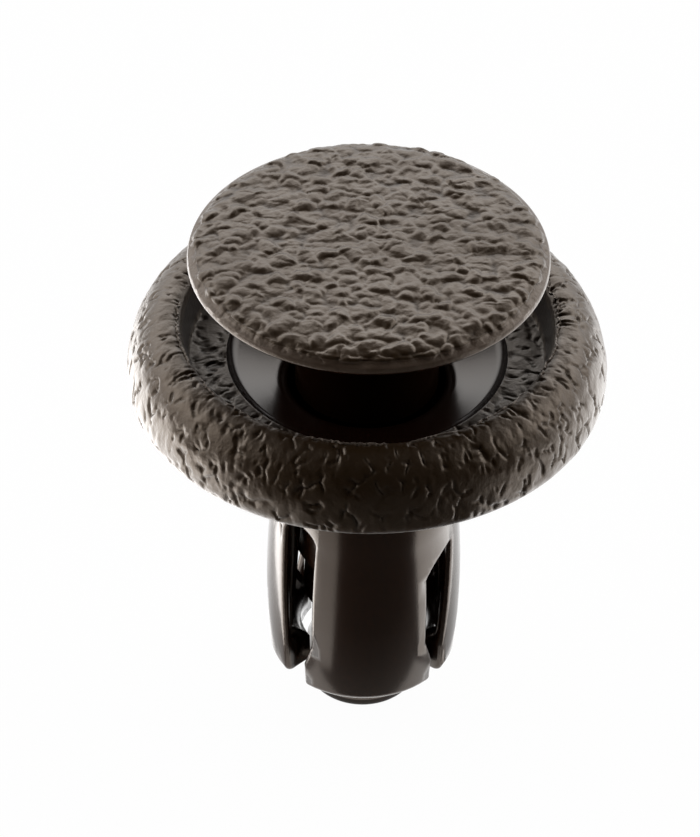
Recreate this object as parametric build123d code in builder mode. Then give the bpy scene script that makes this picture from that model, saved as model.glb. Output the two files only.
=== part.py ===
from build123d import *
from math import cos, hypot, radians, sin, tan
import os

# Two-piece push rivet: a slotted body with a domed flange, and a pin that slides in it.
# Millimetres, +Z up. z = 0 is the seat plane under the flange, and Z is the common axis.
# The pin is drawn raised, before it is pushed home.

# Flange of the body
flange_radius = 10.0
rim_edge_radius = 0.6       # rounding between the seat and the widest ring
crown_radius = 8.15         # ring where the dome is highest
crown_height = 3.3
recess_mouth_radius = 7.68
recess_floor_radius = 7.35
recess_floor_height = 1.35
rim_roll = 0.3              # height of the roll from the crown into the recess
funnel_radius = 5.84
funnel_height = 1.2         # the funnel starts one small step below the recess floor
funnel_angle = 21.0         # degrees below horizontal
funnel_mouth_radius = 1.2   # rounding from the funnel into the bore

# Cored ring under the dome, which keeps the flange's wall even
core_inner_radius = 8.1
core_outer_radius = 9.1
core_depth = 1.7
core_draft = 0.1
core_corner_radius = 0.25

# Shank of the body
shank_radius = 4.0
shank_plain_length = 6.7    # straight stretch under the seat
bulge_radius = 4.22
bulge_depth = 11.2
foot_radius = 4.1
shank_length = 15.1
foot_edge_radius = 0.35
bore_radius = 3.1
bore_end = 6.7              # below this depth the legs thin towards their pads
hollow_radius = 3.76        # bore's widest, just above the pads
throat_radius = 2.75
throat_ramp_top = 12.6      # depths of the ramp where the leg pads close in
throat_ramp_end = 13.7
throat_chamfer = 0.2

# Slots that part the shank into four legs, in two opposite pairs. Offsets are from a
# slot's middle, and each slot lies between a wide front or back leg and a side leg.
slot_azimuth = 49.4         # degrees from -Y to a slot's middle
slot_half_width = 0.84
slot_shoulder = 12.4        # depth where the front and back legs start to widen
slot_foot_top = 13.7
slot_front_foot = 0.43
slot_side_end = 13.4        # depth where the side leg has reached its full width
leg_edge_radius = 0.2       # rounding along the slots' outer edges
# front left and back right: arched top
arch_springing = shank_plain_length
arch_rise = 0.8
arched_side_end = 0.6
arched_side_foot = 0.5
# front right and back left: raked top, lowest beside the wide leg
rake_start = 9.5
rake_middle = (-0.25, 8.5)
rake_peak = (0.72, 8.05)
raked_side_foot = 0.12
rake_chamfer = 0.45

# Pin
head_top_radius = 7.15
head_rim_radius = 7.42
head_top = 7.2
head_thickness = 0.9
head_edge_radius = 0.12
neck_flare = 1.3            # rounding under the head
stem_radius = 3.0
stem_end = 9.0              # depths below the seat, with the pin raised
stem_cone_end = 9.8
guide_radius = 2.6
guide_end = 11.8
waist_radius = 2.1
waist_top = 12.5
waist_end = 14.5
tip_radius = 2.45
tip_shoulder = 15.1
tip_end = 17.2
tip_edge_radius = 0.35

pin_travel = head_top - crown_height
slot_top = arch_springing - arch_rise
slot_end = shank_length + 1      # the slots are cut past the foot
print("pin travel", round(pin_travel, 2))

os.makedirs("parts", exist_ok=True)


def slot_plane(azimuth):
    """Upright plane through the axis, square to the radius at this azimuth."""
    angle = radians(azimuth)
    radial = (sin(angle), -cos(angle), 0)
    tangent = (cos(angle), sin(angle), 0)
    return Plane(origin=(0, 0, 0), x_dir=tangent, z_dir=radial)


def wide_leg_edge(side, top):
    """Points down a slot's edge on its wide leg; side is +1 where that leg is on the right."""
    return [
        (side * slot_half_width, -top),
        (side * slot_half_width, -slot_shoulder),
        (side * slot_front_foot, -slot_foot_top),
        (side * slot_front_foot, -slot_end),
    ]


def arched_slot():
    """Outline of a slot with the wide leg on its right."""
    left = (-slot_half_width, -arch_springing)
    right = (slot_half_width, -arch_springing)
    ThreePointArc(left, (0, arch_rise - arch_springing), right)
    Polyline(
        *wide_leg_edge(1, arch_springing),
        (-arched_side_foot, -slot_end),
        (-arched_side_end, -slot_side_end),
        left,
    )


def raked_slot():
    """Outline of a slot with the wide leg on its left."""
    start = (-slot_half_width, -rake_start)
    peak = (rake_peak[0], -rake_peak[1])
    ThreePointArc(start, (rake_middle[0], -rake_middle[1]), peak)
    Polyline(
        *wide_leg_edge(-1, rake_start),
        (raked_side_foot, -slot_end),
        (raked_side_foot, -slot_side_end),
        peak,
    )


def is_rake(edge):
    """True for the outer edge of a raked slot's top."""
    heights = sorted(point.Z for point in (edge @ 0, edge @ 1))
    return abs(heights[0] + rake_start) < 0.01 and abs(heights[1] + rake_peak[1]) < 0.01


def borders_slot(edge):
    """True for an edge where a slot meets the outside of the shank."""
    inmost = min(hypot(point.X, point.Y) for point in (edge @ 0, edge @ 1))
    return inmost > shank_radius - leg_edge_radius / 2 and edge.center().Z < -slot_top


# Funnel: it ends where the mouth rounding is tangent to both it and the bore.
funnel_slope = radians(funnel_angle)
mouth_centre_radius = bore_radius + funnel_mouth_radius
mouth_start_radius = mouth_centre_radius - funnel_mouth_radius * sin(funnel_slope)
mouth_start_height = funnel_height - (funnel_radius - mouth_start_radius) * tan(funnel_slope)
mouth_centre_height = mouth_start_height - funnel_mouth_radius * cos(funnel_slope)
mouth_mid = radians(180 + 90 + funnel_angle) / 2
mouth_middle = (
    mouth_centre_radius + funnel_mouth_radius * cos(mouth_mid),
    mouth_centre_height + funnel_mouth_radius * sin(mouth_mid),
)

with BuildPart() as body:
    with BuildSketch(Plane.XZ):
        with BuildLine():
            Line((shank_radius, 0), (flange_radius - rim_edge_radius, 0))
            CenterArc(
                (flange_radius - rim_edge_radius, rim_edge_radius),
                rim_edge_radius,
                start_angle=-90,
                arc_size=90,
            )
            EllipticalCenterArc(
                (crown_radius, rim_edge_radius),
                flange_radius - crown_radius,
                crown_height - rim_edge_radius,
                start_angle=0,
                arc_size=90,
            )
            TangentArc(
                (crown_radius, crown_height),
                (recess_mouth_radius, crown_height - rim_roll),
                tangent=(-1, 0),
            )
            Polyline(
                (recess_mouth_radius, crown_height - rim_roll),
                (recess_floor_radius, recess_floor_height),
                (funnel_radius, recess_floor_height),
                (funnel_radius, funnel_height),
                (mouth_start_radius, mouth_start_height),
            )
            ThreePointArc(
                (mouth_start_radius, mouth_start_height),
                mouth_middle,
                (bore_radius, mouth_centre_height),
            )
            Polyline(
                (bore_radius, mouth_centre_height),
                (bore_radius, -bore_end),
                (hollow_radius, -throat_ramp_top),
                (throat_radius, -throat_ramp_end),
                (throat_radius, throat_chamfer - shank_length),
                (throat_radius + throat_chamfer, -shank_length),
                (foot_radius - foot_edge_radius, -shank_length),
            )
            CenterArc(
                (foot_radius - foot_edge_radius, foot_edge_radius - shank_length),
                foot_edge_radius,
                start_angle=-90,
                arc_size=90,
            )
            ThreePointArc(
                (foot_radius, foot_edge_radius - shank_length),
                (bulge_radius, -bulge_depth),
                (shank_radius, -shank_plain_length),
            )
            Line((shank_radius, -shank_plain_length), (shank_radius, 0))
        make_face()
    revolve(axis=Axis.Z)
    # Cored ring, open at the seat
    with BuildSketch(Plane.XZ):
        with BuildLine():
            Polyline(
                (core_inner_radius, 0),
                (core_inner_radius + core_draft, core_depth),
                (core_outer_radius - core_draft, core_depth),
                (core_outer_radius, 0),
                close=True,
            )
        core = make_face()
        fillet(core.vertices().group_by(Axis.Z)[-1], core_corner_radius)
    revolve(axis=Axis.Z, mode=Mode.SUBTRACT)
    # Four slots, those of a pair half a turn apart
    for outline, azimuth in ((arched_slot, -slot_azimuth), (raked_slot, slot_azimuth)):
        for half_turn in (0, 180):
            with BuildSketch(slot_plane(half_turn + azimuth)):
                with BuildLine():
                    outline()
                make_face()
            extrude(amount=flange_radius, mode=Mode.SUBTRACT)
    chamfer(body.edges().filter_by(borders_slot).filter_by(is_rake), rake_chamfer)
    curved_edges = body.edges().filter_by(GeomType.BSPLINE)
    fillet(curved_edges.filter_by(borders_slot), leg_edge_radius)
body.part.label = "body"
export_step(body.part, "parts/body.step")

head_seat = head_top - head_thickness

with BuildPart() as pin:
    with BuildSketch(Plane.XZ):
        with BuildLine():
            Polyline(
                (0, -tip_end),
                (0, head_top),
                (head_top_radius, head_top),
                (head_rim_radius, head_seat),
                (stem_radius + neck_flare, head_seat),
            )
            CenterArc(
                (stem_radius + neck_flare, head_seat - neck_flare),
                neck_flare,
                start_angle=90,
                arc_size=90,
            )
            Polyline(
                (stem_radius, head_seat - neck_flare),
                (stem_radius, -stem_end),
                (guide_radius, -stem_cone_end),
                (guide_radius, -guide_end),
                (waist_radius, -waist_top),
                (waist_radius, -waist_end),
                (tip_radius, -tip_shoulder),
                (tip_radius, -tip_end),
                (0, -tip_end),
            )
        make_face()
    revolve(axis=Axis.Z)
    rim_edges = pin.edges().filter_by(GeomType.CIRCLE).group_by(SortBy.RADIUS)
    fillet(rim_edges[-1] + rim_edges[-2], head_edge_radius)
    fillet(pin.edges().group_by(Axis.Z)[0], tip_edge_radius)
pin.part.label = "pin"
export_step(pin.part, "parts/pin.step")
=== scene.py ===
import bpy
import bmesh
from math import atan2, cos, degrees, exp, hypot, pi, radians, sin, tan
from mathutils import Matrix, Vector, noise
from mathutils.bvhtree import BVHTree


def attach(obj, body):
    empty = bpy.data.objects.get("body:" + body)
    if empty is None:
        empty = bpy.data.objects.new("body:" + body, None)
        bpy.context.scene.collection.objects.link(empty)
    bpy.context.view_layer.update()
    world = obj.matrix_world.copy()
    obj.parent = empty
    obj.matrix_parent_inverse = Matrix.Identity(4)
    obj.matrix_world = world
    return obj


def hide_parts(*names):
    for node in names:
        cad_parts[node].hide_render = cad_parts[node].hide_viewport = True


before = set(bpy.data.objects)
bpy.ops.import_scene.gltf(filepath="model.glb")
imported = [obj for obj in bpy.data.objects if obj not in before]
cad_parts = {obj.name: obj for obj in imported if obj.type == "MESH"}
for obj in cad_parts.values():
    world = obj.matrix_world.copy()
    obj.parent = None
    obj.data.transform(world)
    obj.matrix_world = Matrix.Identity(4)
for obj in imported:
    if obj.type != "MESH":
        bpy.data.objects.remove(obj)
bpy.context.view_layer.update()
mm = 0.001
levelName = "grainLevel"             # attribute: how high a point of the grain stands, 0 to 1
sharpAngle = 35                      # degrees; flatter edges are shaded smooth
print("frame loaded")


# Profiles: lists of (radius, height), in millimetres

def arcPoints(centre, radiusX, radiusZ, startAngle, endAngle, steps):
    points = []
    for i in range(steps + 1):
        turn = radians(startAngle + (endAngle - startAngle) * i / steps)
        points.append((centre[0] + radiusX * cos(turn), centre[1] + radiusZ * sin(turn)))
    return points


def roundedLine(corners, steps=6):
    # a line through the corners (radius, height, rounding)
    points = [corners[0][:2]]
    for before, corner, after in zip(corners, corners[1:], corners[2:]):
        here = Vector(corner[:2])
        if corner[2] == 0:
            points.append(corner[:2])
            continue
        back = (Vector(before[:2]) - here).normalized()
        ahead = (Vector(after[:2]) - here).normalized()
        half = back.angle(ahead) / 2
        centre = here + (back + ahead).normalized() * corner[2] / sin(half)
        start = here + back * corner[2] / tan(half) - centre
        end = here + ahead * corner[2] / tan(half) - centre
        sweep = start.angle_signed(end)
        for i in range(steps + 1):
            points.append(tuple(centre + Matrix.Rotation(-sweep * i / steps, 2) @ start))
    points.append(corners[-1][:2])
    return points


def pointBetween(a, b, share):
    return a[0] + (b[0] - a[0]) * share, a[1] + (b[1] - a[1]) * share


def spacedPoints(points, spacing):
    # long stretches between points are divided, and the points stay
    spaced = [points[0]]
    for a, b in zip(points, points[1:]):
        count = max(1, round(hypot(b[0] - a[0], b[1] - a[1]) / spacing))
        spaced += [pointBetween(a, b, i / count) for i in range(1, count + 1)]
    return spaced


def evenPoints(points, spacing):
    # new points along the line, all at one spacing
    lengths = [0.0]
    for a, b in zip(points, points[1:]):
        lengths.append(lengths[-1] + hypot(b[0] - a[0], b[1] - a[1]))
    count = max(1, round(lengths[-1] / spacing))
    even = []
    k = 0
    for i in range(count + 1):
        wanted = lengths[-1] * i / count
        while k < len(points) - 2 and lengths[k + 1] < wanted:
            k += 1
        share = (wanted - lengths[k]) / (lengths[k + 1] - lengths[k])
        even.append(pointBetween(points[k], points[k + 1], share))
    return even


# Bmesh tools

onCircle = 0.004                     # how near a point has to be to count as on a circle
onePoint = 0.0015                    # points nearer than this are one


def radiusOf(co):
    return hypot(co.x, co.y)


def startMesh():
    bm = bmesh.new()
    bm.verts.layers.float.new(levelName)
    return bm


def spinProfile(bm, profile, steps):
    verts = [bm.verts.new((radius, 0, height)) for radius, height in profile]
    edges = [bm.edges.new(pair) for pair in zip(verts, verts[1:])]
    bmesh.ops.spin(
        bm, geom=verts + edges, cent=(0, 0, 0), axis=(0, 0, 1), angle=2 * pi, steps=steps, use_merge=True
    )


def ringEdges(bm, radius, height):
    # the open edges that lie on this circle
    found = []
    for edge in bm.edges:
        if edge.is_boundary and all(
            abs(radiusOf(v.co) - radius) < onCircle and abs(v.co.z - height) < onCircle for v in edge.verts
        ):
            found.append(edge)
    return found


def divideRing(bm, radius, height, cuts):
    # more points on an open circle, so that a finer surface can start there
    bmesh.ops.subdivide_edges(bm, edges=ringEdges(bm, radius, height), cuts=cuts)
    ring = ringEdges(bm, radius, height)
    for vert in {v for edge in ring for v in edge.verts}:
        reach = radiusOf(vert.co)
        vert.co.x *= radius / reach
        vert.co.y *= radius / reach
    return ring


def extrudeRing(bm, ring, profile, materialIndex):
    # pulls an open circle along the profile, one ring of faces for each point
    for radius, height in profile:
        made = bmesh.ops.extrude_edge_only(bm, edges=ring)["geom"]
        for face in made:
            if isinstance(face, bmesh.types.BMFace):
                face.material_index = materialIndex
        ring = [edge for edge in made if isinstance(edge, bmesh.types.BMEdge) and edge.is_boundary]
        for vert in {v for edge in ring for v in edge.verts}:
            reach = radiusOf(vert.co)
            vert.co = (vert.co.x * radius / reach, vert.co.y * radius / reach, height)
    return ring


def mergeRing(bm, radius, height):
    # joins two open circles that lie on each other
    ring = {v for edge in ringEdges(bm, radius, height) for v in edge.verts}
    bmesh.ops.remove_doubles(bm, verts=list(ring), dist=onePoint)


def faceOutward(bm, faces):
    # the highest of these faces has to look up
    bmesh.ops.recalc_face_normals(bm, faces=faces)
    if max(faces, key=lambda face: face.calc_center_median().z).normal.z < 0:
        bmesh.ops.reverse_faces(bm, faces=faces)
    openEdges = sum(not edge.is_manifold for edge in bm.edges)
    print("open edges", openEdges, "volume", round(bm.calc_volume(signed=True), 1))


def finishPiece(bm, name, node, materials):
    bmesh.ops.scale(bm, vec=(mm, mm, mm), verts=bm.verts)
    mesh = bpy.data.meshes.new(name)
    bm.to_mesh(mesh)
    bm.free()
    for material in materials:
        mesh.materials.append(material)
    mesh.shade_smooth()
    mesh.set_sharp_from_angle(angle=radians(sharpAngle))
    piece = bpy.data.objects.new(name, mesh)
    bpy.context.scene.collection.objects.link(piece)
    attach(piece, node)
    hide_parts(node)
    print(name, len(mesh.vertices), "points", sum(len(p.vertices) - 2 for p in mesh.polygons), "triangles")
    return piece


# Leather grain. Each surface has its own dictionary: how wide the pebbles are, how deep the
# hollows between them, and how far the pattern wanders, in millimetres.

noise.seed_set(7)                    # the pattern's wander is the same on every run
leatherMix = {
    "warp": 1.5, "stepBlend": 10, "topWidth": 0.78,
    "fineSize": 0.65, "fineWander": 0.2, "fineWarp": 2.4, "fineShift": (4.0, 2.8, 5.2),
    "broadStep": 0.3, "broadTop": 0.5, "fineStep": 0.12, "fineTop": 0.08, "highest": 0.9,
}
creaseMix = {
    "warp": 1.4, "patches": 1.9, "patchEdge": 0.2, "creaseDepth": 0.65,
    "pits": 1.5, "pitEdge": 0.2, "pitBottom": 0.08, "pitDepth": 0.4,
}


def softStep(low, high, value):
    share = min(1.0, max(0.0, (value - low) / (high - low)))
    return share * share * (3 - 2 * share)


def pebbles(spot):
    # smooth steps between cells of different heights, and a round top on each cell
    reach, cells = noise.voronoi(spot)
    height = total = 0.0
    for distance, cell in zip(reach, cells):
        weight = exp(leatherMix["stepBlend"] * (reach[0] - distance))
        height += weight * (0.5 + 0.5 * noise.cell(cell * 13.7))     # each cell has its own height
        total += weight
    return height / total, softStep(0.0, 1.0, 1 - (reach[0] / leatherMix["topWidth"]) ** 2)


def patternSpot(point, grain):
    return Vector((a * b for a, b in zip(point, grain["stretch"]))) + Vector((grain["seed"],) * 3)


def leather(point, grain):
    # 1 on top of the highest pebbles, 0 at the bottom of the deepest hollows
    mix = leatherMix
    spot = patternSpot(point, grain)
    broadSpot = spot + grain["wander"] * noise.noise_vector(spot * mix["warp"])
    fineSpot = spot + mix["fineWander"] * noise.noise_vector(spot * mix["fineWarp"])
    broad, broadTop = pebbles(broadSpot / grain["pebble"])
    fine, fineTop = pebbles(fineSpot / (mix["fineSize"] * grain["pebble"]) + Vector(mix["fineShift"]))
    rounding = 0.4 + 0.6 * broad         # the higher a pebble, the rounder its top
    height = mix["broadStep"] * broad + mix["fineStep"] * fine
    height += mix["broadTop"] * broadTop * rounding + mix["fineTop"] * fineTop
    return min(1.0, max(0.0, height / mix["highest"]))


def creased(point, grain):
    # leather in low relief, with narrow creases that fade in and out and a pit here and there
    mix = creaseMix
    spot = patternSpot(point, grain)
    spot = spot + grain["wander"] * noise.noise_vector(spot * mix["warp"])
    reach = noise.voronoi(spot / grain["cell"])[0]
    crease = softStep(grain["crease"], 0.0, reach[1] - reach[0])
    sparse, patchEdge = grain["sparse"], mix["patchEdge"]
    strength = softStep(sparse - patchEdge, sparse + patchEdge, noise.noise(spot * mix["patches"]))
    pit = softStep(mix["pitEdge"], mix["pitBottom"], noise.voronoi(spot * mix["pits"])[0][0])
    height = 1 - grain["relief"] * (1 - leather(point, grain))
    height -= mix["creaseDepth"] * crease * strength + mix["pitDepth"] * pit
    return min(1.0, max(0.0, height))


def pressGrain(bm, choose, where, pattern, grain, fade, outwardAt=None):
    # sinks the chosen points, against the surface's normal or against the direction given
    bm.normal_update()
    level = bm.verts.layers.float[levelName]
    moves = []
    for vert in bm.verts:
        if not choose(vert.co):
            continue
        height = pattern(where(vert.co), grain)
        outward = outwardAt(vert.co) if outwardAt else vert.normal
        moves.append((vert, outward * grain["depth"] * (height - 1) * fade(vert.co), height))
    for vert, move, height in moves:
        vert.co += move
        vert[level] = height


# Materials

def addSocket(group, name, inOut, value=None):
    made = group.interface.new_socket(name=name, in_out=inOut, socket_type="NodeSocketFloat")
    if value is not None:
        made.default_value = value


def buildMottle():
    # soft uneven patches and a fine tooth, from Object coordinates
    group = bpy.data.node_groups.new("mouldMottle", "ShaderNodeTree")
    addSocket(group, "Patch Size", "INPUT", 400.0)
    addSocket(group, "Tooth Size", "INPUT", 9000.0)
    addSocket(group, "Patches", "OUTPUT")
    addSocket(group, "Tooth", "OUTPUT")
    nodes, links = group.nodes, group.links
    inputs, outputs = nodes.new("NodeGroupInput"), nodes.new("NodeGroupOutput")
    place = nodes.new("ShaderNodeTexCoord")
    for wanted, size, detail in (("Patches", "Patch Size", 3.0), ("Tooth", "Tooth Size", 2.0)):
        cloud = nodes.new("ShaderNodeTexNoise")
        cloud.inputs["Detail"].default_value = detail
        links.new(place.outputs["Object"], cloud.inputs["Vector"])
        links.new(inputs.outputs[size], cloud.inputs["Scale"])
        links.new(cloud.outputs["Fac"], outputs.inputs[wanted])
    return group


mottle = buildMottle()


def plastic(name, look):
    material = bpy.data.materials.new(name)
    material.use_nodes = True
    nodes, links = material.node_tree.nodes, material.node_tree.links
    shader = nodes["Principled BSDF"]
    shader.inputs["IOR"].default_value = 1.55
    shader.inputs["Base Color"].default_value = (*look["colour"], 1)
    shader.inputs["Specular Tint"].default_value = (*look["tint"], 1)
    if "creaseShadeColour" in look:
        # painted shade: darker and duller in the creases, where the hollows would lie in shade
        level = nodes.new("ShaderNodeAttribute")
        level.attribute_name = levelName
        for wanted, low, high in (
            ("Base Color", "creaseShadeColour", "colour"), ("Specular Tint", "creaseShadeTint", "tint")
        ):
            ramp = nodes.new("ShaderNodeValToRGB")
            bottom, top = ramp.color_ramp.elements
            bottom.position, top.position = look["creaseShadeRange"]
            bottom.color, top.color = (*look[low], 1), (*look[high], 1)
            links.new(level.outputs["Fac"], ramp.inputs["Fac"])
            links.new(ramp.outputs["Color"], shader.inputs[wanted])
    uneven = nodes.new("ShaderNodeGroup")
    uneven.node_tree = mottle
    uneven.inputs["Patch Size"].default_value = look["patchSize"]
    uneven.inputs["Tooth Size"].default_value = look["toothSize"]
    rough = nodes.new("ShaderNodeMapRange")
    rough.inputs["From Min"].default_value = 0.3         # the noise seldom leaves 0.3 to 0.7
    rough.inputs["From Max"].default_value = 0.7
    rough.inputs["To Min"].default_value = look["roughness"][0]
    rough.inputs["To Max"].default_value = look["roughness"][1]
    links.new(uneven.outputs["Patches"], rough.inputs["Value"])
    links.new(rough.outputs["Result"], shader.inputs["Roughness"])
    bump = nodes.new("ShaderNodeBump")
    bump.inputs["Strength"].default_value = look["toothStrength"]
    bump.inputs["Distance"].default_value = look["toothDepth"] * mm
    links.new(uneven.outputs["Tooth"], bump.inputs["Height"])
    links.new(bump.outputs["Normal"], shader.inputs["Normal"])
    return material


grainedPlastic = plastic("grainedPlastic", {
    "colour": (0.018, 0.009, 0.003), "tint": (1.0, 0.82, 0.66),
    # painted shade in the creases: darker colour and tint where the grain stands low
    "creaseShadeColour": (0.006, 0.002, 0.001), "creaseShadeTint": (0.35, 0.26, 0.18), "creaseShadeRange": (0.1, 0.32),
    "roughness": (0.32, 0.42), "patchSize": 350,
    "toothSize": 7500, "toothStrength": 0.45, "toothDepth": 0.03,
})
# painted shade: a darker, duller copy of the grained plastic for the recess floor under the head
shadedRecessPlastic = plastic("shadedRecessPlastic", {
    "colour": (0.01, 0.005, 0.002), "tint": (0.6, 0.5, 0.41),
    "creaseShadeColour": (0.006, 0.002, 0.001), "creaseShadeTint": (0.25, 0.2, 0.15), "creaseShadeRange": (0.1, 0.32),
    "roughness": (0.32, 0.42), "patchSize": 350,
    "toothSize": 7500, "toothStrength": 0.45, "toothDepth": 0.03,
})
smoothPlastic = plastic("smoothPlastic", {
    "colour": (0.009, 0.003, 0.001), "tint": (1.0, 0.84, 0.7),
    "roughness": (0.16, 0.22), "patchSize": 250,
    "toothSize": 9000, "toothStrength": 0.25, "toothDepth": 0.008,
})
satinPlastic = plastic("satinPlastic", {
    "colour": (0.042, 0.027, 0.018), "tint": (1.0, 0.84, 0.7),
    "roughness": (0.32, 0.4), "patchSize": 300,
    "toothSize": 7500, "toothStrength": 0.6, "toothDepth": 0.03,
})
# painted shade: a darker copy of the smooth plastic with a weak specular tint, for the funnel and the bore
innerShadePlastic = plastic("innerShadePlastic", {
    "colour": (0.006, 0.002, 0.001), "tint": (0.25, 0.2, 0.16),
    "roughness": (0.14, 0.18), "patchSize": 250,
    "toothSize": 9000, "toothStrength": 0.2, "toothDepth": 0.008,
})
# painted highlight: a lighter colour than the body's plastic, so that the flash thread shows as a bright
# line
flashHighlightPlastic = plastic("flashHighlightPlastic", {
    "colour": (0.1, 0.08, 0.065), "tint": (1.0, 0.84, 0.7),
    "roughness": (0.35, 0.45), "patchSize": 300,
    "toothSize": 7500, "toothStrength": 0.3, "toothDepth": 0.02,
})
# places in the pieces' lists of materials; the first two are the same on both pieces
grainedSlot, smoothSlot = 0, 1
innerShadeSlot, shadedRecessSlot, flashHighlightSlot = 2, 3, 4        # body
satinSlot = 2                                    # pin
print("materials made")


# Body: the slotted shank, with the flange's underside, dome, recess and funnel turned on its axis

bodyShape = {                        # z = 0 is the seat under the flange, as in the frame
    "flangeRadius": 10.0, "rimEdge": 0.6, "crownRadius": 8.15, "crownHeight": 3.3,
    "mouthRadius": 7.68, "rimRoll": 0.3, "floorRadius": 7.35, "floorHeight": 1.35,
    "funnelRadius": 5.84, "funnelHeight": 1.2, "funnelAngle": 21.0, "funnelRound": 1.2,
    "coreInner": 8.1, "coreOuter": 9.1, "coreDepth": 1.7, "coreDraft": 0.1, "coreCorner": 0.25,
    "shankRadius": 4.0, "boreRadius": 3.1, "boreWidest": 3.9,
    "seam": 0.03,                    # width of the strips that join turned faces to the shank's own
    "steps": 240, "fineCuts": 3,     # segments round the smooth part, and cuts in each for the grain
    "grainStart": -50.0,             # degrees on the lower edge's rounding where the grain begins
    "domeSpacing": 0.088, "floorSpacing": 0.08,
}
domeGrain = {
    "pebble": 0.56, "depth": 0.14, "wander": 0.3, "stretch": (1.1, 1.1, 0.7), "seed": 11.0,
    "cell": 0.7, "crease": 0.17, "relief": 0.36, "sparse": 0.12,
    "wrapRadius": 9.0, "lowest": 0.05, "edgeFade": (0.14, 0.45), "rimFade": 0.18,
}
floorGrain = {
    "pebble": 0.6, "depth": 0.12, "wander": 0.5, "stretch": (1.0, 1.0, 1.0), "seed": 23.0,
    "cell": 1.0, "crease": 0.2, "relief": 0.35, "sparse": 0.0,
    "funnelFade": 0.16, "wallFade": 0.15,
}
rimFlash = {
    "radius": 7.86, "wander": 0.2, "crinkle": 0.12, "thickness": 0.05, "spacing": 0.06, "seed": 5.0,
    "waves": 8, "ripples": 60, "dives": 6, "sides": 5,
}


def addFlash(bm, flash):
    # a closed crinkled thread that lies half sunk in the rim, and dives under it here and there
    surface = BVHTree.FromBMesh(bm)
    count = round(2 * pi * flash["radius"] / flash["spacing"])
    sides = flash["sides"]
    rings = []
    for i in range(count):
        turn = 2 * pi * i / count
        way = Vector((cos(turn), sin(turn), 0.0))
        shift = flash["wander"] * noise.noise(way * flash["waves"] + Vector((flash["seed"], 0, 0)))
        shift += flash["crinkle"] * noise.noise(way * flash["ripples"] + Vector((0, flash["seed"], 0)))
        centre = way * (flash["radius"] + shift)
        top = surface.ray_cast(Vector((centre.x, centre.y, 5.0)), Vector((0, 0, -1)))[0]
        raised = softStep(-0.25, 0.1, noise.noise(way * flash["dives"] + Vector((0, 0, flash["seed"]))))
        centre.z = top.z + flash["thickness"] * (2.0 * raised - 1.3)
        ring = []
        for k in range(sides):
            angle = 2 * pi * k / sides
            outward = way * cos(angle) + Vector((0, 0, sin(angle)))
            ring.append(bm.verts.new(centre + flash["thickness"] * outward))
        rings.append(ring)
    faces = []
    for ring, following in zip(rings, rings[1:] + rings[:1]):
        for k in range(sides):
            j = (k + 1) % sides
            face = bm.faces.new((ring[k], following[k], following[j], ring[j]))
            # the thread takes the plastic with the painted highlight
            face.material_index = flashHighlightSlot
            faces.append(face)
    bmesh.ops.recalc_face_normals(bm, faces=faces)


def domeProfile(shape, rimCentre):
    # from the edge's rounding over the crown to the mouth of the recess
    edge = shape["rimEdge"]
    dome = arcPoints(rimCentre, edge, edge, shape["grainStart"], 0, 8)
    crown = (shape["crownRadius"], edge)
    width, rise = shape["flangeRadius"] - shape["crownRadius"], shape["crownHeight"] - edge
    dome += arcPoints(crown, width, rise, 0, 90, 40)[1:]
    # the roll is an arc that starts level at the crown and ends at the mouth
    drop = shape["rimRoll"]
    inward = shape["crownRadius"] - shape["mouthRadius"]
    rollRadius = (inward ** 2 + drop ** 2) / (2 * drop)
    rollCentre = (shape["crownRadius"], shape["crownHeight"] - rollRadius)
    rollEnd = 90 + 2 * degrees(atan2(drop, inward))
    dome += arcPoints(rollCentre, rollRadius, rollRadius, 90, rollEnd, 10)[1:]
    return evenPoints(dome, shape["domeSpacing"])


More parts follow.
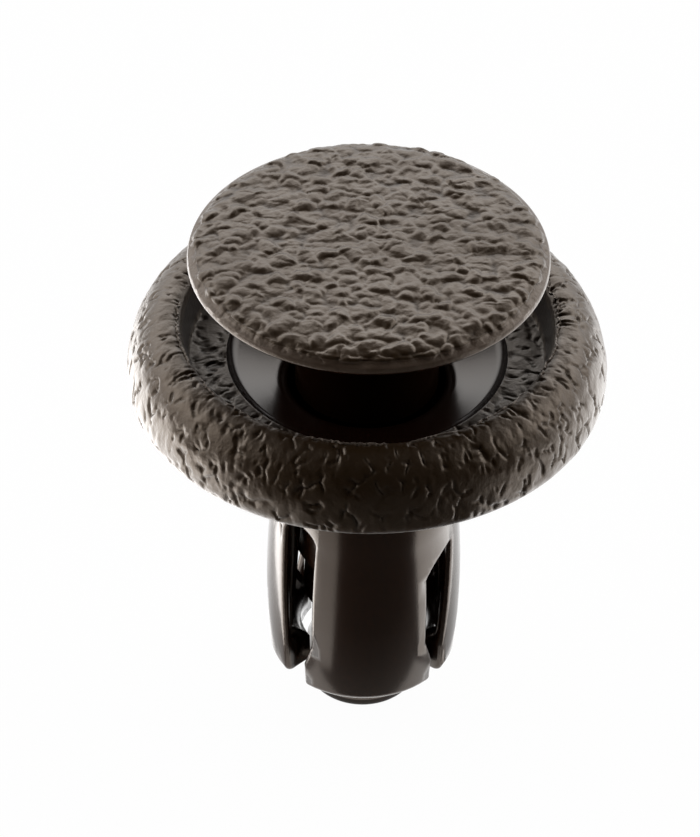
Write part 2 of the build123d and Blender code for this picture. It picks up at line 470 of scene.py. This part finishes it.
def buildBody(shape):
    bm = startMesh()
    seam = shape["seam"]
    slope = radians(shape["funnelAngle"])
    roundCentre = shape["boreRadius"] + shape["funnelRound"]
    roundStart = roundCentre - shape["funnelRound"] * sin(slope)
    roundTop = shape["funnelHeight"] - (shape["funnelRadius"] - roundStart) * tan(slope)
    roundEnd = roundTop - shape["funnelRound"] * cos(slope)

    # the slotted shank keeps its own faces: below the seat outside, below the funnel's rounding inside
    bm.from_mesh(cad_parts["body"].data)
    bmesh.ops.scale(bm, vec=(1 / mm, 1 / mm, 1 / mm), verts=bm.verts)
    bmesh.ops.remove_doubles(bm, verts=bm.verts, dist=0.0001)

    def isFlange(face):
        # above the seat, or in the bore above the end of the funnel's rounding
        middle = face.calc_center_median()
        inBore = radiusOf(middle) < shape["boreRadius"] + 0.5
        return middle.z > -0.001 or (inBore and middle.z > roundEnd)

    bmesh.ops.delete(bm, geom=[face for face in bm.faces if isFlange(face)], context="FACES")
    rootLoop = ringEdges(bm, shape["shankRadius"], 0)
    boreLoop = ringEdges(bm, shape["boreRadius"], roundEnd)
    print("shank loops", len(rootLoop), len(boreLoop), len(bm.faces))

    # underside, from the shank out to where the grain starts
    rimCentre = (shape["flangeRadius"] - shape["rimEdge"], shape["rimEdge"])
    rimArc = arcPoints(rimCentre, shape["rimEdge"], shape["rimEdge"], -90, shape["grainStart"], 6)
    coreTop = shape["coreDepth"]
    under = roundedLine([
        (shape["shankRadius"] + seam, 0, 0), (shape["coreInner"], 0, 0),
        (shape["coreInner"] + shape["coreDraft"], coreTop, shape["coreCorner"]),
        (shape["coreOuter"] - shape["coreDraft"], coreTop, shape["coreCorner"]),
        (shape["coreOuter"], 0, 0), (*rimArc[0], 0),
    ])
    spinProfile(bm, spacedPoints(under, 0.8) + rimArc[1:], shape["steps"])

    # funnel, and its rounding down into the bore
    funnel = [(shape["funnelRadius"], shape["funnelHeight"])]
    funnel += arcPoints((roundCentre, roundEnd), shape["funnelRound"], shape["funnelRound"],
                        90 + shape["funnelAngle"], 176, 10)
    funnel.append((shape["boreRadius"], roundEnd + seam))
    spinProfile(bm, spacedPoints(funnel, 0.5), shape["steps"])
    # painted shade: the funnel and the bore's faces that look at the axis take the darker inner plastic
    for face in bm.faces:
        middle = face.calc_center_median()
        facesAxis = middle.x * face.normal.x + middle.y * face.normal.y < -0.2
        inBore = facesAxis and radiusOf(middle) < shape["boreWidest"]
        inFunnel = middle.z > roundEnd and radiusOf(middle) < shape["funnelRadius"]
        face.material_index = innerShadeSlot if inFunnel or inBore else smoothSlot

    # dome, wall and floor of the recess
    ring = divideRing(bm, *rimArc[-1], shape["fineCuts"])
    divideRing(bm, shape["funnelRadius"], shape["funnelHeight"], shape["fineCuts"])
    dome = domeProfile(shape, rimCentre)
    ring = extrudeRing(bm, ring, dome[1:], grainedSlot)
    wall = spacedPoints([dome[-1], (shape["floorRadius"], shape["floorHeight"])], 0.4)
    ring = extrudeRing(bm, ring, wall[1:], grainedSlot)
    floorLine = evenPoints([wall[-1], (shape["funnelRadius"], shape["floorHeight"])], shape["floorSpacing"])
    # the recess floor takes the plastic with painted shade
    ring = extrudeRing(bm, ring, floorLine[1:], shadedRecessSlot)
    extrudeRing(bm, ring, [(shape["funnelRadius"], shape["funnelHeight"])], smoothSlot)

    # close the seams
    bmesh.ops.bridge_loops(bm, edges=rootLoop + ringEdges(bm, shape["shankRadius"] + seam, 0))
    bmesh.ops.bridge_loops(bm, edges=boreLoop + ringEdges(bm, shape["boreRadius"], roundEnd + seam))
    mergeRing(bm, shape["funnelRadius"], shape["funnelHeight"])
    faceOutward(bm, [face for face in bm.faces if isFlange(face)])

    # grain: a place on the dome is its turn and its climb
    def isDome(co):
        return co.z > domeGrain["lowest"] and radiusOf(co) > shape["mouthRadius"] - 0.001

    def isFloor(co):
        return abs(co.z - shape["floorHeight"]) < 0.001

    def onDome(co):
        turn = atan2(co.y, co.x)
        climb = co.z + (shape["flangeRadius"] - radiusOf(co))
        return Vector((domeGrain["wrapRadius"] * cos(turn), domeGrain["wrapRadius"] * sin(turn), climb))

    def domeFade(co):
        reach = radiusOf(co)
        atEdge = softStep(*domeGrain["edgeFade"], co.z) if reach > domeGrain["wrapRadius"] else 1.0
        return atEdge * softStep(shape["mouthRadius"], shape["mouthRadius"] + domeGrain["rimFade"], reach)

    def floorFade(co):
        reach = radiusOf(co)
        inner, outer = shape["funnelRadius"], shape["floorRadius"]
        atFunnel = softStep(inner, inner + floorGrain["funnelFade"], reach)
        return atFunnel * softStep(outer, outer - floorGrain["wallFade"], reach)

    pressGrain(bm, isDome, onDome, creased, domeGrain, domeFade)
    pressGrain(bm, isFloor, lambda co: co, creased, floorGrain, floorFade)
    addFlash(bm, rimFlash)
    plastics = [grainedPlastic, smoothPlastic, innerShadePlastic, shadedRecessPlastic, flashHighlightPlastic]
    return finishPiece(bm, "rivetBody", "body", plastics)


# Pin: head, stem, guide, waist and tip turned on the axis, and the head's grained top

pinShape = {
    "headTopRadius": 7.15, "headRimRadius": 7.42, "headTop": 7.2, "headThickness": 0.9, "headEdge": 0.12,
    "neckFlare": 1.3, "stemRadius": 3.0, "stemEnd": -9.0, "coneEnd": -9.8, "guideRadius": 2.6,
    "guideEnd": -11.8, "waistRadius": 2.1, "waistTop": -12.5, "waistEnd": -14.5,
    "tipRadius": 2.45, "tipShoulder": -15.1, "tipEnd": -17.2, "tipEdge": 0.35,
    "steps": 258, "fineCuts": 3, "roundSteps": 8,
    "grainedSide": 0.54, "sideSpacing": 0.06,    # how far down the head's side the grain can reach
}
headGrain = {
    "pebble": 0.62, "depth": 0.19, "wander": 0.32, "stretch": (0.92, 1.08, 1.0), "seed": 3.0,
    "edgeDrop": 0.14,                            # how far the top has sunk at the edge of the head
    "edgeRoll": 0.17, "rollWidth": 0.75,         # the further fall just inside the edge
    "turnStart": 0.3, "turnEnd": 0.6,            # before and past the edge, where it turns outwards
    "sideFade": 0.12,
}


def pressRound(verts):
    # turns a square grid into a round one with faces of much the same size
    for vert in verts:
        x, y = vert.co.x, vert.co.y
        if x == 0 and y == 0:
            continue
        if abs(x) >= abs(y):
            turn = pi / 4 * y / x
            vert.co.x, vert.co.y = x * cos(turn), x * sin(turn)
        else:
            turn = pi / 4 * x / y
            vert.co.x, vert.co.y = y * sin(turn), y * cos(turn)


def buildPin(shape):
    bm = startMesh()
    edge, top = shape["headEdge"], shape["headTop"]
    seat = top - shape["headThickness"]
    profile = roundedLine([
        (0, top, 0), (shape["headTopRadius"], top, edge),
        (shape["headRimRadius"], seat, edge), (shape["stemRadius"], seat, shape["neckFlare"]),
        (shape["stemRadius"], shape["stemEnd"], 0), (shape["guideRadius"], shape["coneEnd"], 0),
        (shape["guideRadius"], shape["guideEnd"], 0), (shape["waistRadius"], shape["waistTop"], 0),
        (shape["waistRadius"], shape["waistEnd"], 0), (shape["tipRadius"], shape["tipShoulder"], 0),
        (shape["tipRadius"], shape["tipEnd"], shape["tipEdge"]), (0, shape["tipEnd"], 0),
    ], shape["roundSteps"])
    cornerEnd = shape["roundSteps"] + 1
    topEdge = profile[1:cornerEnd + 1]           # the rounding round the top of the head
    below = profile[cornerEnd:]
    sideLength = hypot(below[1][0] - below[0][0], below[1][1] - below[0][1])
    joint = pointBetween(below[0], below[1], shape["grainedSide"] / sideLength)
    spinProfile(bm, spacedPoints([joint] + below[1:], 1.5), shape["steps"])
    divideRing(bm, *joint, shape["fineCuts"])
    for face in bm.faces:
        face.material_index = satinSlot if face.calc_center_median().z > seat + edge else smoothSlot

    # top of the head, and its edge down to where the turned part starts
    flatRadius = topEdge[0][0]
    before = set(bm.verts)
    bmesh.ops.create_grid(bm, x_segments=shape["steps"], y_segments=shape["steps"], size=flatRadius,
                          matrix=Matrix.Translation((0, 0, top)))
    pressRound([vert for vert in bm.verts if vert not in before])
    ring = extrudeRing(bm, ringEdges(bm, flatRadius, top), topEdge[1:], grainedSlot)
    sideLine = evenPoints([topEdge[-1], joint], shape["sideSpacing"])
    extrudeRing(bm, ring, sideLine[1:], satinSlot)
    bmesh.ops.remove_doubles(bm, verts=bm.verts, dist=onePoint)
    faceOutward(bm, bm.faces[:])

    def isTop(co):
        return co.z > joint[1] + 0.001

    # the top is a little lower at its edge
    corner, sideTop = topEdge[-1]
    rollStart = shape["headTopRadius"] - headGrain["rollWidth"]
    for vert in bm.verts:
        if isTop(vert.co):
            reach = min(shape["headTopRadius"], radiusOf(vert.co))
            fall = headGrain["edgeDrop"] * (reach / shape["headTopRadius"]) ** 5
            fall += headGrain["edgeRoll"] * max(0.0, (reach - rollStart) / headGrain["rollWidth"]) ** 2
            vert.co.z -= fall * min(1.0, (vert.co.z - joint[1]) / (sideTop - joint[1]))

    def overEdge(co):
        # from upwards to outwards on the way over the edge
        reach = radiusOf(co)
        way = reach + top - co.z
        lean = pi / 2 * softStep(corner - headGrain["turnStart"], corner + headGrain["turnEnd"], way)
        reach = reach or 1.0
        return Vector((co.x / reach * sin(lean), co.y / reach * sin(lean), cos(lean)))

    def headFade(co):
        return softStep(joint[1], joint[1] + headGrain["sideFade"], co.z)

    pressGrain(bm, isTop, lambda co: co, leather, headGrain, headFade, overEdge)
    return finishPiece(bm, "rivetPin", "pin", [grainedPlastic, smoothPlastic, satinPlastic])


buildBody(bodyShape)
buildPin(pinShape)


# Camera, floor and light

view = {
    "focal": 3595.8, "imageWidth": 700, "imageHeight": 837, "sensor": 36.0,
    "elevation": 41.04, "azimuth": -4.5, "roll": 0.75, "offset": (0.698, -1.818, 150.0), "lift": 0.1,
}


def lookMatrix(view):
    tilt, roll = radians(view["elevation"]), radians(view["roll"])
    across = Vector((1, 0, 0))
    upward = Vector((0, sin(tilt), cos(tilt)))
    ahead = Vector((0, cos(tilt), -sin(tilt)))
    right = across * cos(roll) + upward * sin(roll)
    up = upward * cos(roll) - across * sin(roll)
    x, y, distance = view["offset"]
    place = (up * y - right * x - ahead * distance + Vector((0, 0, view["lift"]))) * mm
    turned = Matrix((right, up, -ahead)).transposed().to_4x4()
    return Matrix.Rotation(radians(view["azimuth"]), 4, "Z") @ Matrix.Translation(place) @ turned


def placeCamera(view):
    lens = bpy.data.cameras.new("camera")
    lens.sensor_width = view["sensor"]
    lens.lens = view["focal"] / max(view["imageWidth"], view["imageHeight"]) * view["sensor"]
    lens.clip_start = 0.01
    lens.clip_end = 20
    camera = bpy.data.objects.new("camera", lens)
    camera.matrix_world = lookMatrix(view)
    bpy.context.scene.collection.objects.link(camera)
    bpy.context.scene.camera = camera
    print("camera placed")


placeCamera(view)

# the floor is white to the camera; in reflections it is dim on the camera's side and bright on the far one
paper = {
    "size": 3.0, "white": 0.8, "glowShare": 0.975,
    "dimAt": -0.012, "litAt": 0.018, "dimLevel": 0.06, "litLevel": 1.8,
}


def paperMaterial(paper):
    material = bpy.data.materials.new("paperWhite")
    material.use_nodes = True
    nodes, links = material.node_tree.nodes, material.node_tree.links
    sheet = nodes["Principled BSDF"]
    sheet.inputs["Roughness"].default_value = 1.0
    sheet.inputs["Specular IOR Level"].default_value = 0.0
    sheet.inputs["Base Color"].default_value = (paper["white"], paper["white"], paper["white"], 1)
    rays = nodes.new("ShaderNodeLightPath")
    # strength of the glow
    spot = nodes.new("ShaderNodeTexCoord")
    axes = nodes.new("ShaderNodeSeparateXYZ")
    links.new(spot.outputs["Object"], axes.inputs["Vector"])
    fade = nodes.new("ShaderNodeMapRange")
    fade.interpolation_type = "SMOOTHSTEP"
    fade.inputs["From Min"].default_value = paper["dimAt"]
    fade.inputs["From Max"].default_value = paper["litAt"]
    fade.inputs["To Min"].default_value = paper["dimLevel"]
    fade.inputs["To Max"].default_value = paper["litLevel"]
    links.new(axes.outputs["Y"], fade.inputs["Value"])
    strength = nodes.new("ShaderNodeMix")
    strength.inputs["B"].default_value = 1.0
    links.new(rays.outputs["Is Camera Ray"], strength.inputs["Factor"])
    links.new(fade.outputs["Result"], strength.inputs["A"])
    glow = nodes.new("ShaderNodeEmission")
    links.new(strength.outputs["Result"], glow.inputs["Strength"])
    # the camera and reflections see mostly the glow, and all else plain paper
    seen = nodes.new("ShaderNodeMath")
    seen.operation = "MAXIMUM"
    links.new(rays.outputs["Is Camera Ray"], seen.inputs[0])
    links.new(rays.outputs["Is Glossy Ray"], seen.inputs[1])
    share = nodes.new("ShaderNodeMath")
    share.operation = "MULTIPLY"
    share.inputs[1].default_value = paper["glowShare"]
    links.new(seen.outputs[0], share.inputs[0])
    mixer = nodes.new("ShaderNodeMixShader")
    links.new(share.outputs[0], mixer.inputs["Fac"])
    links.new(sheet.outputs["BSDF"], mixer.inputs[1])
    links.new(glow.outputs["Emission"], mixer.inputs[2])
    links.new(mixer.outputs["Shader"], nodes["Material Output"].inputs["Surface"])
    return material


def layFloor(paper, height):
    bm = bmesh.new()
    bmesh.ops.create_grid(bm, x_segments=1, y_segments=1, size=paper["size"],
                          matrix=Matrix.Translation((0, 0, height)))
    mesh = bpy.data.meshes.new("floor")
    bm.to_mesh(mesh)
    bm.free()
    mesh.materials.append(paperMaterial(paper))
    floor = bpy.data.objects.new("floor", mesh)
    bpy.context.scene.collection.objects.link(floor)
    print("floor laid")


layFloor(paper, pinShape["tipEnd"] * mm)

# light panels just above the floor, facing up: each starts at its reach from the axis, in the
# direction of its turn, and lies to the left (1), to the right (-1) or on both sides (0) of that line
panels = {
    "leftPanel": {"reach": 0.007, "turn": 208, "side": -1, "size": 0.1, "radiance": 5.5},
    "leftGlow": {"reach": 0.007, "turn": 238, "side": -1, "size": 0.04, "radiance": 1.4},
    "rightPanel": {"reach": 0.007, "turn": -38, "side": 1, "size": 0.1, "radiance": 2.5},
    "footPanel": {"reach": -0.005, "turn": -90, "side": 0, "size": 0.01, "radiance": 1.2},
}
panelHeight = (pinShape["tipEnd"] + 0.5) * mm

for name, panel in panels.items():
    lamp = bpy.data.lights.new(name, "AREA")
    lamp.shape = "SQUARE"
    lamp.size = panel["size"]
    lamp.energy = panel["radiance"] * pi * panel["size"] ** 2
    holder = bpy.data.objects.new(name, lamp)
    half = panel["size"] / 2
    centre = Matrix.Translation((panel["reach"] + half, panel["side"] * half, panelHeight))
    faceUp = Matrix.Rotation(pi, 4, "X")
    holder.matrix_world = Matrix.Rotation(radians(panel["turn"]), 4, "Z") @ centre @ faceUp
    holder.visible_camera = False
    bpy.context.scene.collection.objects.link(holder)
print("panels placed")

# the world is white to the camera; for all else it is a tent, bright low down at the back and sides
tent = {
    "level": 4.3, "frontAt": -0.5, "sideAt": 0.15,
    # from straight down (0) over the horizon (0.5) to straight up (1), with the brightness at each place
    "climb": ((0.0, 0.3), (0.5, 0.3), (0.6, 0.33), (0.68, 0.9), (0.75, 1.0), (0.79, 0.85), (0.83, 0.54),
              (0.87, 0.26), (0.91, 0.1), (0.96, 0.02), (1.0, 0.01)),
}


def pitchTent(tent):
    world = bpy.data.worlds.new("tent")
    bpy.context.scene.world = world
    world.use_nodes = True
    nodes, links = world.node_tree.nodes, world.node_tree.links
    sky = nodes["Background"]
    sky.inputs["Color"].default_value = (1, 1, 1, 1)
    direction = nodes.new("ShaderNodeTexCoord")
    axes = nodes.new("ShaderNodeSeparateXYZ")
    links.new(direction.outputs["Generated"], axes.inputs["Vector"])
    height = nodes.new("ShaderNodeMapRange")
    height.inputs["From Min"].default_value = -1.0
    links.new(axes.outputs["Z"], height.inputs["Value"])
    climb = nodes.new("ShaderNodeValToRGB")
    stops = climb.color_ramp.elements
    for place, brightness in tent["climb"][1:-1]:
        stops.new(place)
    for stop, (place, brightness) in zip(stops, tent["climb"]):
        stop.position = place
        stop.color = (brightness, brightness, brightness, 1)
    links.new(height.outputs["Result"], climb.inputs["Fac"])
    side = nodes.new("ShaderNodeMapRange")
    side.interpolation_type = "SMOOTHSTEP"
    side.inputs["From Min"].default_value = tent["frontAt"]
    side.inputs["From Max"].default_value = tent["sideAt"]
    side.inputs["To Max"].default_value = tent["level"]
    links.new(axes.outputs["Y"], side.inputs["Value"])
    lit = nodes.new("ShaderNodeMath")
    lit.operation = "MULTIPLY"
    links.new(climb.outputs["Color"], lit.inputs[0])
    links.new(side.outputs["Result"], lit.inputs[1])
    rays = nodes.new("ShaderNodeLightPath")
    strength = nodes.new("ShaderNodeMix")
    strength.inputs["B"].default_value = 1.0
    links.new(rays.outputs["Is Camera Ray"], strength.inputs["Factor"])
    links.new(lit.outputs[0], strength.inputs["A"])
    links.new(strength.outputs["Result"], sky.inputs["Strength"])
    print("tent pitched")


pitchTent(tent)
bpy.context.scene.view_settings.view_transform = "Standard"
